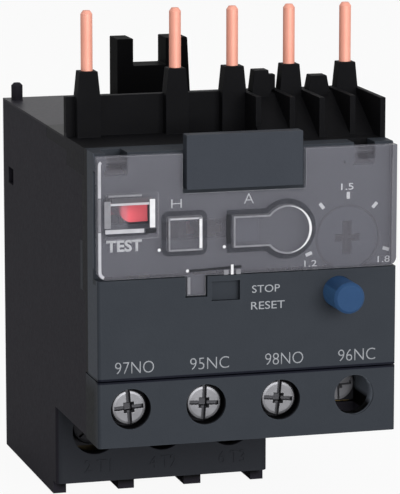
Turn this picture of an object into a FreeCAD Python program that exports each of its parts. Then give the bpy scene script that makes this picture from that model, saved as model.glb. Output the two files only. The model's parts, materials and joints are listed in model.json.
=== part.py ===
import FreeCAD, Part
import math
import os

# Thermal overload relay, 45 mm wide, for direct mounting under a contactor.
# Design axes, mm: X from the left side to the right as seen from the front,
# Y from the front face towards the rear, Z up from the feet.
# Every node is moved by ORIGIN at export, so the row frame has its origin at the
# centre of the bounding box's bottom, with the front facing -Y.

V = FreeCAD.Vector

# ---- envelope ----
WIDTH = 45.0
DEPTH = 61.0              # front face to rear face
TOP_Z = 56.4              # roof
WALL = 1.6
CORNER_R = 0.5            # upright front corners of the hood and the auxiliary block
FRONT_WALL = 2.0
BUTTON_PROUD = 5.5        # stop/reset button ahead of the front face
ORIGIN = V(WIDTH / 2, (DEPTH - BUTTON_PROUD) / 2, 0)

# ---- clearances and fits ----
FREE = 0.3                # between faces that pass one another
SLOT = 0.1                # sliding guide, each side
SHAFT_FIT = 0.05          # radial, running fit of a pin, shaft or plunger
SEAT = 0.02               # radial, pin held in its own moulding
SIDES = 12                # of the small repeated shanks, holes and contact tips

# ---- mouldings ----
FLOOR_LOW = 14.0          # underside of the mechanism floor
FLOOR_TOP = 15.6
INNER_X0 = WALL
INNER_X1 = WIDTH - WALL
REAR_IN = DEPTH - WALL
HOOD_REAR_UP = 8.8        # rear rim of the hood above the snap tabs
HOOD_REAR_LOW = 7.2       # rear rim of the hood and the auxiliary block below them
HOOD_TAB = (35.4, 42.6)   # snap tab heights
HOOD_TAB_REAR = 10.1
RIM_LOW = TOP_Z - 4.1     # underside of the pin deck at the front
RIM_HIGH = TOP_Z - 1.9    # underside of the pin deck at the rear
DECK_Y0 = 5.6             # front edge of the pin deck right of DECK_SPLIT
DECK_LEFT_Y0 = 7.6        # and left of it
DECK_STEP = 18.2
DECK_Y1 = 31.0
BOSS_Y = (15.8, 20.6)     # bar under the deck that holds the pin strips
BLOCK_Z = (13.7, 23.4)    # auxiliary terminal block
HOOD_Z0 = 23.6

# ---- power tier ----
TIER_X1 = 33.3
TIER_Y0 = 26.0
TIER_PLATE_REAR = 28.4
TIER_PLATE_Z = 2.0
TIER_CORNER_R = 0.9
FEET_X = [(0.0, 2.0), (10.2, 12.7), (20.6, 23.3), (31.3, 33.3)]
POWER_CELL_Y1 = 37.6
POWER_Z = 9.9
POWER_HOLE_R = 3.6
POLE_X = [(FEET_X[i][1] + FEET_X[i + 1][0]) / 2 for i in range(3)]
RISER_HALF = 1.5          # half width of the pole risers, strips and leads

# ---- power screws and clamps ----
RECESS_DEPTH = 1.0        # cross recess in the screw heads
RECESS_TURN = 3           # degrees
P_HEAD_Y = 29.3           # head front when tight
P_HEAD_R = 2.8
P_HEAD_H = 2.4
P_SHANK_R = 2.0
P_SHANK_L = 5.4
P_CLAMP = (7.2, 7.0, 1.2)  # width, height, thickness
P_PLATE_Y = (33.6, 34.8)
P_PLATE_Z = (4.0, 13.6)

# ---- auxiliary terminals ----
AUX_X0 = 4.87
AUX_PITCH = (WIDTH - 11.22) / 3
AUX_X = [AUX_X0 + i * AUX_PITCH for i in range(4)]
AUX_Z = 19.3
AUX_HOLE_R = 3.0
A_HEAD_Y = 8.0            # head front when tight
A_HEAD_R = 2.6
A_HEAD_H = 2.0
A_SHANK_R = 1.75
A_SHANK_L = 9.4
A_CLAMP = (6.4, 6.2, 1.0)
A_PLATE_Y = (11.4, 12.6)
A_LOOSE = [6.8, 6.8, 6.8, 0.0]   # how far each screw stands loosened at rest
AUX_CELL_Y = (2.6, A_PLATE_Y[1])
AUX_CELL_W = 7.2
AUX_REAR = AUX_CELL_Y[1] + 2.4
AUX_PLATE_HALF = 3.0
AUX_LEG = 1.25            # half width of the contact legs
AUX_LEG_OVER = 1.3        # how far a leg rises above the middle of its tip
AUX_SHELF_Z = (24.4, 25.6)

# ---- contactor pins and towers ----
PIN_R = 0.875
PIN_Y = 18.2
COIL_PIN_X = 3.1
POLE_PIN_X = 16.5
POLE_PIN_PITCH = (WIDTH - 18.7) / 3
PIN_X = [COIL_PIN_X] + [POLE_PIN_X + i * POLE_PIN_PITCH for i in range(4)]
TOWER_Z = TOP_Z + 9.75
PIN_TOP = TOWER_Z + 8.85
PIN_ROOT = 1.1            # side of the square shank inside the deck
PIN_TIP = 0.35            # chamfer at the free end
PIN_END = 0.5             # length of the chamfered end
TOWER_W = [2.7, 2.6, 2.9, 2.6, 2.5]   # at the top
TOWER_DRAFT = 0.4         # how far each side has spread by FIN_Z
TOWER_Y = (16.9, 19.3)
BARRIERS = [(PIN_X[2] + 4.2, 2.1, TOWER_Z - 0.75), (PIN_X[3] + 4.35, 2.4, TOWER_Z - 1.85)]
SHOULDER = (PIN_X[2] + 5.0, PIN_X[2] + 6.8, TOWER_Z - 1.65)
WALL_Y = (18.6, 19.9)
FIN_Z = TOP_Z + 5.9
FIN_T = 0.8
FINS = [(PIN_X[2] + 1.6, 11.2), (PIN_X[3] - 2.4, 9.8), (PIN_X[3] + 1.6, 8.0),
        (PIN_X[4] - 2.2, 8.8), (WIDTH - FIN_T, DECK_Y0)]
DECK_SPLIT = PIN_X[3] - 3.0
RAMP_Y = (8.4, 17.6)      # foot and top of the slope between the fins
STRIP_T = 0.8
STRIP_Z = (RIM_LOW - STRIP_T, RIM_LOW)
STRIP_Y = (16.9, 20.5)    # square end of a strip round its pin
LEAD_Y = (45.2, 46.0)
LEAD_Z0 = 36.0            # lower end of the heater leads
STRIP_BEND_Y = 38.0
COIL_STRIP = (1.1, 1.4)   # reach of the side strips left and right of their pins
SIGNAL_STRIP = (2.2, 0.5)

# ---- bimetals ----
BI_ROOT_Z = 18.0
BI_Z = (18.1, 49.0)
BI_Y = (37.5, 42.5)
BI_T = 0.9
HEATER_Z = (22.0, 42.0)
HEATER_TURNS = 7

# ---- trip slides ----
SLIDE_LOW = (46.2, 47.2)
SLIDE_UP = (47.6, 48.6)
SLIDE_Y = (36.0, 44.0)
SLIDE_X0 = 3.0
TIP_PLAY = 0.25
LINK_Y = (37.0, 43.0)
NOSE_Y = (39.5, 40.5)

# ---- trip lever ----
LEVER_X = WIDTH - 3.8
LEVER_Y = 28.0
LEVER_SHAFT_R = 0.8
LEVER_HUB_R = 1.8
LEVER_HUB_Z = (28.5, 49.0)
SHAFT_Z = (18.0, RIM_LOW - 1.9)
FRONT_ARM = 15.0          # pivot to the indicator pin
SIDE_ARM = 14.0           # pivot to the carrier nose
ARM_H = 1.6               # height of the arm to the indicator pin
ARM_PIN_R = 0.5
ARM_Z = (29.0, 31.4)      # arm that moves the carrier
STRIP_X = (LEVER_X - 1.6, LEVER_X - 0.8)   # compensation strip
STRIP_ROOT_Y = LEVER_Y + 2.4
PAD_Y = LEVER_Y - 1.8     # face that the button's plunger meets
STRIP_LOW = 46.4
STRIP_HIGH = 48.4
SLIDE_X1 = LEVER_X - 3.8
NOSE_X = LEVER_X - 2.6

# ---- contacts ----
NC_Z = 30.5
NO_Z = 27.2
BAR_H = 1.6
BAR_T = 0.8
TIP_R = 1.1
NC_LEG_Y = (7.0, 8.2)
NC_TIP_Y = (NC_LEG_Y[1], 8.8)
NC_BAR_Y = 9.5
NO_BAR_Y = 10.9
NO_ARM_Y = (14.6, 15.8)
NO_TIP_Y = 14.02
TIP_GAP = 0.05
CARRIER_X = (WIDTH / 2 - 2.5, WIDTH / 2 + 2.5)
TAIL_X = (WIDTH / 2 - 1.0, WIDTH / 2 + 1.0)
TAIL_Z = (28.8, 31.6)
LUG_Y = (29.4, 30.8)
GUIDE_Y = (19.0, 26.0)    # guide of the carrier's tail
GUIDE_T = 1.2
RIB_Y0 = 34.0             # front of the pole partitions
RIB_HALF = 0.6
SPRING_X = (POLE_X[1] + POLE_X[2]) / 2    # contact spring, against a partition

# ---- front controls ----
PANEL_Y = (2.4, 4.0)
COVER_T = 1.2
COVER_X = (0.05, WIDTH - 0.05)
COVER_Z = (38.4, TOP_Z - 0.2)
HINGE_Y = 3.0
HINGE_Z = TOP_Z - 1.4
HINGE_R = 0.5
EAR_R = 0.9
EAR_X = [(2.0, 4.7), (WIDTH - 5.7, WIDTH - 3.1)]
EAR_SLOT_Y = 6.0          # rear of the slots in the roof above the ears
BROW_BEVEL = 0.6          # lets the cover's rear face pass the brow of the hood
DIAL_X = WIDTH - 6.8
DIAL_Z = 42.35
DIAL_R = 4.7
DIAL_SHAFT_R = 2.0
DIAL_CROSS = (2.1, 0.4, 1.0)   # reach, half width and depth of the driver slots
CAM_Y = (9.0, 11.0)
CAM_R = 3.8
CAM_RISE = 1.6 / math.radians(226)   # mm per radian of dial turn
CAM_SPAN = math.radians(116)
CAM_STEPS = 24
SETTING_HALF = 0.75       # half width of the setting slider
SETTING_TOP = 51.6
BUTTON_X = LEVER_X - 5.1
BUTTON_Z = 34.9
BUTTON_R = 2.3
FLANGE_R = 2.7
FLANGE_REAR = 3.2
PLUNGER_R = 1.2
PLUNGER_END = 23.5
POST_Y = (16.0, 17.2)
POST_HALF = 2.4
FLAG_X = (3.5, 7.9)
FLAG_Y = (2.8, 4.6)
FLAG_Z = (46.2, 49.5)
BAR_Y = (12.4, 13.6)
BAR_Z = (45.6, 47.1)
KNOB_X = WIDTH / 2 - 0.1
KNOB_Z = 44.6
KNOB_TRAVEL = 0.22 * WIDTH
KNOB_SLOT_H = 2.7
KNOB_HALF = 2.1
KNOB_PLATE = 2.0          # half height of the knob in front of the panel

# ---- marker plate ----
MARKER_X = (13.1, WIDTH - 14.5)
MARKER_Y = (-0.4, COVER_T + 0.4)
MARKER_Z = (KNOB_Z + 6.4, TOP_Z + 2.5)
MARKER_FOOT_Z = (MARKER_Z[0] + 0.6, MARKER_Z[0] + 1.8)
CUT_X = (MARKER_X[0] - 0.5, MARKER_X[1] + 0.6)   # cut-out of the cover round the plate
CUT_Z = MARKER_Z[0] - 0.4
SWING_R = math.hypot(HINGE_Z - MARKER_Z[0], HINGE_Y - MARKER_Y[0]) + 0.2

# ---- pads and windows of the cover ----
PAD_PROUD = 0.7
TEST_PAD = (1.2, 8.9, 44.3, 50.9)
TEST_WINDOW = (2.0, 8.1, 45.1, 50.1)
WINDOW_SKIN = 0.3         # clear plastic left in front of the test window
HAND_PAD = (KNOB_X - 12.1, KNOB_X - 7.0, 42.2, 47.1)
AUTO_PAD = (KNOB_X - 2.4, KNOB_X + 3.6, 42.3, 46.9)
AUTO_ROUND = (KNOB_X + 5.77, KNOB_Z, 3.6)
LATCH_X = (13.3, 16.0)
LATCH_Z = 35.5
PULL_RECESS = (16.9, 21.2, 34.5, 37.4)

# ---- mounting features on the roof ----
HOOK_Y = (DEPTH - 8.0, DEPTH - 3.0)
HOOK_LEFT = (16.7, 19.3)
HOOK_RIGHT = (24.6, 28.1)
HOOK_FOOT = 0.5           # how much wider the right prong is at the roof
HOOK_BAR_Z = TOP_Z + 5.4
HOOK_TOP = TOP_Z + 9.7
PEG_X = 1.7
PEG_Y = DEPTH - 2.6
PEG_R = 0.9
PEG_TOP = TOP_Z + 2.7
PEG_TIP = 0.4
SIDE_SLOT = (DEPTH - 7.0, DEPTH - 3.6, 43.4, 46.0)


def box(x0, x1, y0, y1, z0, z1):
    return Part.makeBox(x1 - x0, y1 - y0, z1 - z0, V(x0, y0, z0))


def cyl_y(x, z, r, y0, y1):
    return Part.makeCylinder(r, y1 - y0, V(x, y0, z), V(0, 1, 0))


def cyl_z(x, y, r, z0, z1):
    return Part.makeCylinder(r, z1 - z0, V(x, y, z0), V(0, 0, 1))


def cyl_x(y, z, r, x0, x1):
    return Part.makeCylinder(r, x1 - x0, V(x0, y, z), V(1, 0, 0))


def cone_z(x, y, r0, r1, z0, z1):
    return Part.makeCone(r0, r1, z1 - z0, V(x, y, z0), V(0, 0, 1))


def ring_points(r, around):
    """Corners of a regular polygon with SIDES sides. It lies inside the circle of radius
    r, or with around=True outside it, so that a shank of radius r turns freely in it."""
    corner = r / math.cos(math.pi / SIDES) if around else r
    step = 2 * math.pi / SIDES
    return [(corner * math.cos(i * step), corner * math.sin(i * step)) for i in range(SIDES)]


def rod_y(x, z, r, y0, y1, around=False):
    outline = [(x + a, z + b) for a, b in ring_points(r, around)]
    return prism_xz(y0, y1, outline)


def rod_x(y, z, r, x0, x1, around=False):
    outline = [(y + a, z + b) for a, b in ring_points(r, around)]
    return prism_yz(x0, x1, outline)


def rod_z(x, y, r, z0, z1, around=False):
    outline = [(x + a, y + b) for a, b in ring_points(r, around)]
    return prism_xy(z0, z1, outline)


def square_z(x, y, side, z0, z1):
    return box(x - side / 2, x + side / 2, y - side / 2, y + side / 2, z0, z1)


def prism(points, direction):
    face = Part.Face(Part.makePolygon(points + [points[0]]))
    return face.extrude(direction)


def prism_yz(x0, x1, outline):
    return prism([V(x0, y, z) for y, z in outline], V(x1 - x0, 0, 0))


def prism_xz(y0, y1, outline):
    return prism([V(x, y0, z) for x, z in outline], V(0, y1 - y0, 0))


def prism_xy(z0, z1, outline):
    return prism([V(x, y, z0) for x, y in outline], V(0, 0, z1 - z0))


def fuse(shapes):
    shape = shapes[0]
    if len(shapes) > 1:
        shape = shape.multiFuse(shapes[1:])
    return shape.removeSplitter()


def cut(shape, tools):
    return shape.cut(tools).removeSplitter()


def upright_edges(shape, corners):
    """Edges parallel to Z through the given (x, y) corners."""
    found = []
    for edge in shape.Edges:
        a = edge.Vertexes[0].Point
        b = edge.Vertexes[-1].Point
        if abs(a.x - b.x) > 1e-6 or abs(a.y - b.y) > 1e-6:
            continue
        for x, y in corners:
            if abs(a.x - x) < 1e-6 and abs(a.y - y) < 1e-6:
                found.append(edge)
    return found


def rounded_front(shape):
    return shape.makeFillet(CORNER_R, upright_edges(shape, [(0, 0), (WIDTH, 0)]))


def coil(x, z, y0, y1, radius, wire, turns):
    """Square-wire spring along Y, as a many-sided helix with flat closed ends."""
    sides = 8
    count = turns * sides
    points = []
    for i in range(count + 1):
        a = 2 * math.pi * i / sides
        y = y0 + wire / 2 + (y1 - y0 - wire) * i / count
        points.append(V(x + radius * math.cos(a), y, z + radius * math.sin(a)))
    path = Part.makePolygon(points)
    h = wire / 2
    p = points[0]
    ring = [V(p.x - h, p.y - h, p.z), V(p.x + h, p.y - h, p.z),
            V(p.x + h, p.y + h, p.z), V(p.x - h, p.y + h, p.z)]
    profile = Part.makePolygon(ring + [ring[0]])
    sweep = Part.BRepOffsetAPI.MakePipeShell(path)
    sweep.setFrenetMode(True)
    sweep.setTransitionMode(1)
    sweep.add(profile)
    sweep.build()
    sweep.makeSolid()
    return sweep.shape()


# ---------------------------------------------------------------- mouldings

def base_housing():
    side = [(HOOD_REAR_LOW, FLOOR_LOW), (DEPTH, FLOOR_LOW), (DEPTH, TOP_Z),
            (DECK_Y1, TOP_Z), (DECK_Y1, RIM_HIGH), (DECK_STEP, RIM_HIGH),
            (DECK_STEP, RIM_LOW), (HOOD_REAR_UP, RIM_LOW), (HOOD_REAR_UP, HOOD_TAB[1]),
            (HOOD_TAB_REAR, HOOD_TAB[1]), (HOOD_TAB_REAR, HOOD_TAB[0]),
            (HOOD_REAR_LOW, HOOD_TAB[0])]
    shell = prism_yz(0, WIDTH, side)
    tier = box(0, TIER_X1, TIER_Y0, DEPTH, TIER_PLATE_Z, FLOOR_LOW)
    feet = [box(x0, x1, TIER_PLATE_REAR, DEPTH, 0, TIER_PLATE_Z) for x0, x1 in FEET_X]
    body = fuse([shell, tier] + feet)
    hollow = [box(INNER_X0, INNER_X1, 0, REAR_IN, FLOOR_TOP, TOP_Z - WALL),
              box(INNER_X0, INNER_X1, 0, DECK_Y1, RIM_LOW, TOP_Z)]
    cells = []
    for x0, x1 in zip([f[1] for f in FEET_X[:-1]], [f[0] for f in FEET_X[1:]]):
        cells.append(box(x0, x1, TIER_PLATE_REAR, POWER_CELL_Y1, -1, FLOOR_LOW))
    riser = RISER_HALF + SLOT
    for x in POLE_X:
        cells.append(cyl_y(x, POWER_Z, POWER_HOLE_R, TIER_Y0 - 1, TIER_PLATE_REAR + 1))
        cells.append(box(x - riser, x + riser, P_PLATE_Y[0] - SLOT, P_PLATE_Y[1] + SLOT,
                         FLOOR_LOW - 1, FLOOR_TOP + 1))
    for x in AUX_X:
        cells.append(box(x - AUX_CELL_W / 2, x + AUX_CELL_W / 2, HOOD_REAR_LOW - 1,
                         A_PLATE_Y[0], FLOOR_LOW - 1, FLOOR_TOP + 1))
    y0, y1, z0, z1 = SIDE_SLOT
    body = cut(body, hollow + cells + [box(-1, WALL + 1, y0, y1, z0, z1)])
    corners = upright_edges(body, [(0, TIER_Y0), (TIER_X1, TIER_Y0)])
    return fuse([body.makeFillet(TIER_CORNER_R, corners)] + base_ribs())


def base_ribs():
    """Pole partitions, carrier guide, plunger post and lever boss inside the base."""
    ribs = []
    pitch = POLE_X[2] - POLE_X[1]
    for x in POLE_X:
        mid = x + pitch / 2
        ribs.append(box(mid - RIB_HALF, mid + RIB_HALF, RIB_Y0, REAR_IN, FLOOR_TOP,
                        SLIDE_LOW[0] - SLOT))
    y0, y1 = GUIDE_Y
    x0, x1 = TAIL_X[0] - SLOT, TAIL_X[1] + SLOT
    ribs.append(box(x0 - GUIDE_T, x0, y0, y1, FLOOR_TOP, TAIL_Z[1]))
    ribs.append(box(x1, x1 + GUIDE_T, y0, y1, FLOOR_TOP, TAIL_Z[1]))
    ribs.append(box(x0, x1, y0, y1, TAIL_Z[0] - SLOT - GUIDE_T, TAIL_Z[0] - SLOT))
    post = box(BUTTON_X - POST_HALF, BUTTON_X + POST_HALF, POST_Y[0], POST_Y[1], FLOOR_TOP,
               BUTTON_Z + 3.0)
    screw_room = A_SHANK_R + FREE
    ribs.append(cut(post, [rod_y(BUTTON_X, BUTTON_Z, PLUNGER_R + SHAFT_FIT, POST_Y[0] - 1,
                                 POST_Y[1] + 1, True),
                           box(AUX_X[3] - screw_room, WIDTH, POST_Y[0] - 1, POST_Y[1] + 1,
                               FLOOR_TOP - 1, AUX_Z + screw_room)]))
    boss = square_z(LEVER_X, LEVER_Y, 4.0, FLOOR_TOP, LEVER_HUB_Z[0] - 0.2)
    ribs.append(cut(boss, [cyl_z(LEVER_X, LEVER_Y, LEVER_SHAFT_R + SEAT, SHAFT_Z[0], TOP_Z)]))
    return ribs


def front_housing():
    lower = box(0, WIDTH, 0, HOOD_REAR_LOW, HOOD_Z0, RIM_LOW)
    upper = box(0, WIDTH, 0, HOOD_REAR_UP, HOOD_TAB[1], RIM_LOW)
    rims = [box(0, WIDTH, 0, DECK_Y0, RIM_LOW - 1, TOP_Z),
            box(0, DECK_SPLIT, 0, DECK_LEFT_Y0, RIM_LOW - 1, TOP_Z)]
    tab = box(0, WIDTH, 0, HOOD_TAB_REAR, HOOD_TAB[0], HOOD_TAB[1])
    body = rounded_front(fuse([lower, upper, tab] + rims))
    hollow = [box(INNER_X0, INNER_X1, FRONT_WALL, DEPTH, HOOD_Z0 + 1.4, COVER_Z[0]),
              box(INNER_X0, INNER_X1, PANEL_Y[1], DEPTH, COVER_Z[0] - 1, TOP_Z - WALL),
              box(INNER_X0, INNER_X1, 6.0, DEPTH, HOOD_Z0 - 1, HOOD_Z0 + 2)]
    brow = COVER_T + 0.4
    x0, x1, z0, z1 = PULL_RECESS
    cover_seat = [box(-1, WIDTH + 1, -1, PANEL_Y[0], COVER_Z[0] - 0.2, RIM_HIGH - 0.6),
                  box(-1, WIDTH + 1, -1, brow, COVER_Z[1] - 3, TOP_Z + 1),
                  box(LATCH_X[0] - FREE, LATCH_X[1] + FREE, -1, COVER_T + FREE, LATCH_Z - FREE,
                      COVER_Z[0] + 1),
                  box(x0, x1, -1, 1.0, z0, z1)]
    openings = [cyl_y(BUTTON_X, BUTTON_Z, BUTTON_R + SHAFT_FIT, -1, FRONT_WALL + 1),
                cyl_y(DIAL_X, DIAL_Z, DIAL_R + SHAFT_FIT, PANEL_Y[0] - SLOT, PANEL_Y[1] + 1),
                box(INNER_X0 + 0.05, FLAG_X[1] + FREE, -1, PANEL_Y[1] + 1,
                    FLAG_Z[0] - FREE, FLAG_Z[1] + FREE),
                box(KNOB_X - KNOB_TRAVEL - KNOB_HALF - 0.2, KNOB_X + KNOB_HALF + 0.2, -1,
                    PANEL_Y[1] + 1, KNOB_Z - KNOB_SLOT_H / 2, KNOB_Z + KNOB_SLOT_H / 2)]
    body = fuse([cut(body, hollow + cover_seat + openings)] + hood_shelves())
    notches = [box(x0 - FREE, x1 + FREE, COVER_T, EAR_SLOT_Y, 53.0, TOP_Z + 1)
               for x0, x1 in EAR_X]
    bores = [rod_x(HINGE_Y, HINGE_Z, HINGE_R + SEAT, x0 - 1.2, x1 + 1.2, True)
             for x0, x1 in EAR_X]
    bevel = prism_yz(-1, WIDTH + 1, [(brow - 1, TOP_Z + 1), (brow - 1, TOP_Z - BROW_BEVEL - 1),
                                     (brow, TOP_Z - BROW_BEVEL), (brow + BROW_BEVEL, TOP_Z),
                                     (brow + BROW_BEVEL + 1, TOP_Z + 1)])
    return cut(body, notches + bores + [bevel])


def hood_shelves():
    """Rests of the indicator bar, guides of the setting slider and hinge blocks."""
    y0 = PANEL_Y[1] - 0.2
    shelves = []
    for x in (8.4, WIDTH - 15.8):
        shelves.append(box(x - 0.8, x + 0.8, y0, BAR_Y[1] + 0.4, BAR_Z[0] - 1.8, BAR_Z[0] - SLOT))
    guide = SETTING_HALF + SLOT
    for x in (DIAL_X - guide - 1.3, DIAL_X + guide):
        shelves.append(box(x, x + 1.3, y0, CAM_Y[1], 48.2, SETTING_TOP + 0.4))
    left, right = EAR_X
    for x0, x1 in [(left[1] + FREE, left[1] + 2.1), (right[0] - 1.7, right[0] - FREE),
                   (right[1] + FREE, INNER_X1)]:
        shelves.append(box(x0, x1, 1.8, 5.4, 53.4, TOP_Z - WALL + 0.2))
    return shelves


def aux_block():
    front = rounded_front(box(0, WIDTH, 0, HOOD_REAR_LOW, BLOCK_Z[0], BLOCK_Z[1]))
    rear = box(INNER_X0 + 0.2, INNER_X1 - 0.2, HOOD_REAR_LOW - 1, AUX_REAR, FLOOR_TOP + 0.1,
               BLOCK_Z[1])
    body = fuse([front, rear])
    tools = []
    half = AUX_CELL_W / 2
    for x in AUX_X:
        tools.append(box(x - half, x + half, AUX_CELL_Y[0], AUX_CELL_Y[1], FLOOR_TOP + 0.1,
                         BLOCK_Z[1] - 0.6))
        tools.append(box(x - half, x + half, AUX_CELL_Y[0], HOOD_REAR_LOW + 1,
                         BLOCK_Z[0] - 1, FLOOR_TOP + 1))
        tools.append(cyl_y(x, AUX_Z, AUX_HOLE_R, -1, AUX_CELL_Y[0] + 1))
        shank = A_SHANK_R + FREE
        tools.append(box(x - shank, x + shank, AUX_CELL_Y[1] - 1, AUX_REAR + 1,
                         AUX_Z - shank, AUX_Z + shank))
        leg = AUX_LEG + SLOT
        tools.append(box(x - leg, x + leg, A_PLATE_Y[0] - SLOT, A_PLATE_Y[1] + SLOT,
                         BLOCK_Z[1] - 2, BLOCK_Z[1] + 1))
    return cut(body, tools)


def tower(x, width, top):
    """Tapered insulating tower on a pier that stands on the deck."""
    half = width / 2
    foot = half + TOWER_DRAFT
    y0, y1 = TOWER_Y
    return prism_xz(y0, y1, [(x - foot, TOP_Z - 0.2), (x + foot, TOP_Z - 0.2),
                             (x + foot, FIN_Z), (x + half, top),
                             (x - half, top), (x - foot, FIN_Z)])


def pin_deck():
    y_wall = WALL_Y[0] + 0.2
    low = TOP_Z - 0.2
    pieces = [box(0, DECK_SPLIT + 1, DECK_LEFT_Y0, DECK_STEP, RIM_LOW, TOP_Z),
              box(DECK_SPLIT, WIDTH, DECK_Y0, DECK_STEP, RIM_LOW, TOP_Z),
              box(0, WIDTH, DECK_STEP - 1, DECK_Y1, RIM_HIGH, TOP_Z)]
    deck = cut(fuse(pieces), [box(INNER_X0, INNER_X1, DECK_Y0 - 1, BOSS_Y[0], RIM_LOW - 1,
                                  RIM_HIGH)])
    pieces = [deck, box(INNER_X0 + SLOT, INNER_X1 - SLOT, BOSS_Y[0], BOSS_Y[1], RIM_LOW,
                        RIM_HIGH + 0.2),
              box(0, WIDTH, WALL_Y[0], WALL_Y[1], low, FIN_Z)]
    for x, width in zip(PIN_X, TOWER_W):
        pieces.append(tower(x, width, TOWER_Z))
    for x, width, top in BARRIERS:
        pieces.append(tower(x, width, top))
    pieces.append(box(SHOULDER[0], SHOULDER[1], WALL_Y[0], WALL_Y[1], low, SHOULDER[2]))
    ramp = [(RAMP_Y[0], low), (y_wall, low), (y_wall, FIN_Z - 0.4), (RAMP_Y[1], FIN_Z - 0.4),
            (RAMP_Y[0], TOP_Z)]
    pieces.append(prism_yz(FINS[0][0], WIDTH, ramp))
    for x, y in FINS:
        pieces.append(box(x, x + FIN_T, y, y_wall, low, FIN_Z))
    bores = [square_z(x, PIN_Y, PIN_ROOT + 2 * SEAT, RIM_LOW - 1, TOWER_Z + 1) for x in PIN_X]
    return cut(fuse(pieces), bores)


def mounting_hook():
    y0, y1 = HOOK_Y
    left = box(HOOK_LEFT[0], HOOK_LEFT[1], y0, y1, TOP_Z, HOOK_TOP)
    x0, x1 = HOOK_RIGHT
    right = prism_xz(y0, y1, [(x0, TOP_Z), (x1 + HOOK_FOOT, TOP_Z), (x1, HOOK_TOP),
                              (x0, HOOK_TOP)])
    bar = box(HOOK_LEFT[0], x0 + 1, y0, y1, TOP_Z, HOOK_BAR_Z)
    return fuse([left, right, bar])


def locating_peg():
    neck = PEG_TOP - PEG_TIP
    return fuse([cyl_z(PEG_X, PEG_Y, PEG_R, TOP_Z, neck),
                 cone_z(PEG_X, PEG_Y, PEG_R, PEG_R - PEG_TIP, neck, PEG_TOP)])


# ---------------------------------------------------------------- power poles

def busbar(index):
    """Contactor pin brazed to a strip that crosses to its pole, with a heater lead."""
    px = PIN_X[index + 1]
    x = POLE_X[index]
    h = RISER_HALF
    z0, z1 = STRIP_Z
    y0, y1 = STRIP_Y
    bend = STRIP_BEND_Y
    strip = prism_xy(z0, z1, [(px - h, y0), (px + h, y0), (px + h, y1),
                              (x + h, bend), (x + h, LEAD_Y[1]), (x - h, LEAD_Y[1]),
                              (x - h, bend), (px - h, y1)])
    lead = box(x - h, x + h, LEAD_Y[0], LEAD_Y[1], LEAD_Z0, z0 + 0.2)
    return fuse([strip, lead, pin_solid(px)])


def pin_solid(x):
    """Round pin standing on its tower, with a square shank down to the strip."""
    root = square_z(x, PIN_Y, PIN_ROOT, STRIP_Z[0], TOWER_Z + PIN_TIP)
    neck = PIN_TOP - PIN_END
    shank = cyl_z(x, PIN_Y, PIN_R, TOWER_Z, neck)
    tip = cone_z(x, PIN_Y, PIN_R, PIN_R - PIN_TIP, neck, PIN_TOP)
    return fuse([root, shank, tip])


def side_pin(x, reach):
    strip = box(x - reach[0], x + reach[1], STRIP_Y[0], STRIP_Y[1] + 3.5, STRIP_Z[0], STRIP_Z[1])
    return fuse([strip, pin_solid(x)])


def pole_terminal(x):
    """Threaded plate under the clamp, riser through the floor and bimetal root."""
    y0, y1 = P_PLATE_Y
    z0, z1 = P_PLATE_Z
    h = RISER_HALF
    plate = box(x - P_CLAMP[0] / 2, x + P_CLAMP[0] / 2, y0, y1, z0, z1)
    riser = box(x - h, x + h, y0, y1, z1 - 0.6, BI_ROOT_Z)
    root = box(x - 2.5, x + 2.5, y0, BI_Y[1], BI_ROOT_Z - 1, BI_ROOT_Z)
    foot = box(x - 2.5, x + 2.5, BI_Y[0], BI_Y[1], FLOOR_TOP, BI_ROOT_Z - 1)
    body = fuse([plate, riser, root, foot])
    return cut(body, [rod_y(x, POWER_Z, P_SHANK_R + SHAFT_FIT, y0 - 1, y1 + 1, True)])


def bimetal(x):
    h = BI_T / 2
    return box(x - h, x + h, BI_Y[0], BI_Y[1], BI_Z[0], BI_Z[1])


def heater(x):
    """Insulated sleeve on the bimetal with the turns of the heating ribbon."""
    h = BI_T / 2
    z0, z1 = HEATER_Z
    sleeve = box(x - h - 0.5, x + h + 0.5, BI_Y[0] - 0.4, BI_Y[1] + 0.4, z0, z1)
    pitch = (z1 - z0 - 1.6) / (HEATER_TURNS - 1)
    turns = []
    for i in range(HEATER_TURNS):
        z = z0 + 0.3 + i * pitch
        turns.append(box(x - h - 1.0, x + h + 1.0, BI_Y[0] - 0.9, BI_Y[1] + 0.9, z, z + 1.0))
    core = box(x - h, x + h, BI_Y[0], BI_Y[1], z0 - 1, z1 + 1)
    return cut(fuse([sleeve] + turns), [core])


# ---------------------------------------------------------------- screws and clamps

def screw(x, z, head_y, head_r, head_h, shank_r, shank_l):
    head = cyl_y(x, z, head_r, head_y, head_y + head_h)
    shank = rod_y(x, z, shank_r, head_y + head_h - 0.2, head_y + head_h + shank_l)
    arm = head_r * 0.72
    slot = head_r * 0.16
    floor = head_y + RECESS_DEPTH
    cross = [box(x - arm, x + arm, head_y - 1, floor, z - slot, z + slot),
             box(x - slot, x + slot, head_y - 1, floor, z - arm, z + arm)]
    body = cut(fuse([head, shank]), cross)
    body.rotate(V(x, 0, z), V(0, 1, 0), RECESS_TURN)
    return body


def clamp(x, z, y, size, hole_r):
    w, h, t = size
    plate = box(x - w / 2, x + w / 2, y, y + t, z - h / 2, z + h / 2)
    return cut(plate, [rod_y(x, z, hole_r, y - 1, y + t + 1, True)])


def power_screw(x):
    return screw(x, POWER_Z, P_HEAD_Y, P_HEAD_R, P_HEAD_H, P_SHANK_R, P_SHANK_L)


def power_clamp(x):
    return clamp(x, POWER_Z, P_HEAD_Y + P_HEAD_H, P_CLAMP, P_SHANK_R + SHAFT_FIT)


def aux_screw(x, loose):
    return screw(x, AUX_Z, A_HEAD_Y - loose, A_HEAD_R, A_HEAD_H, A_SHANK_R, A_SHANK_L)


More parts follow.
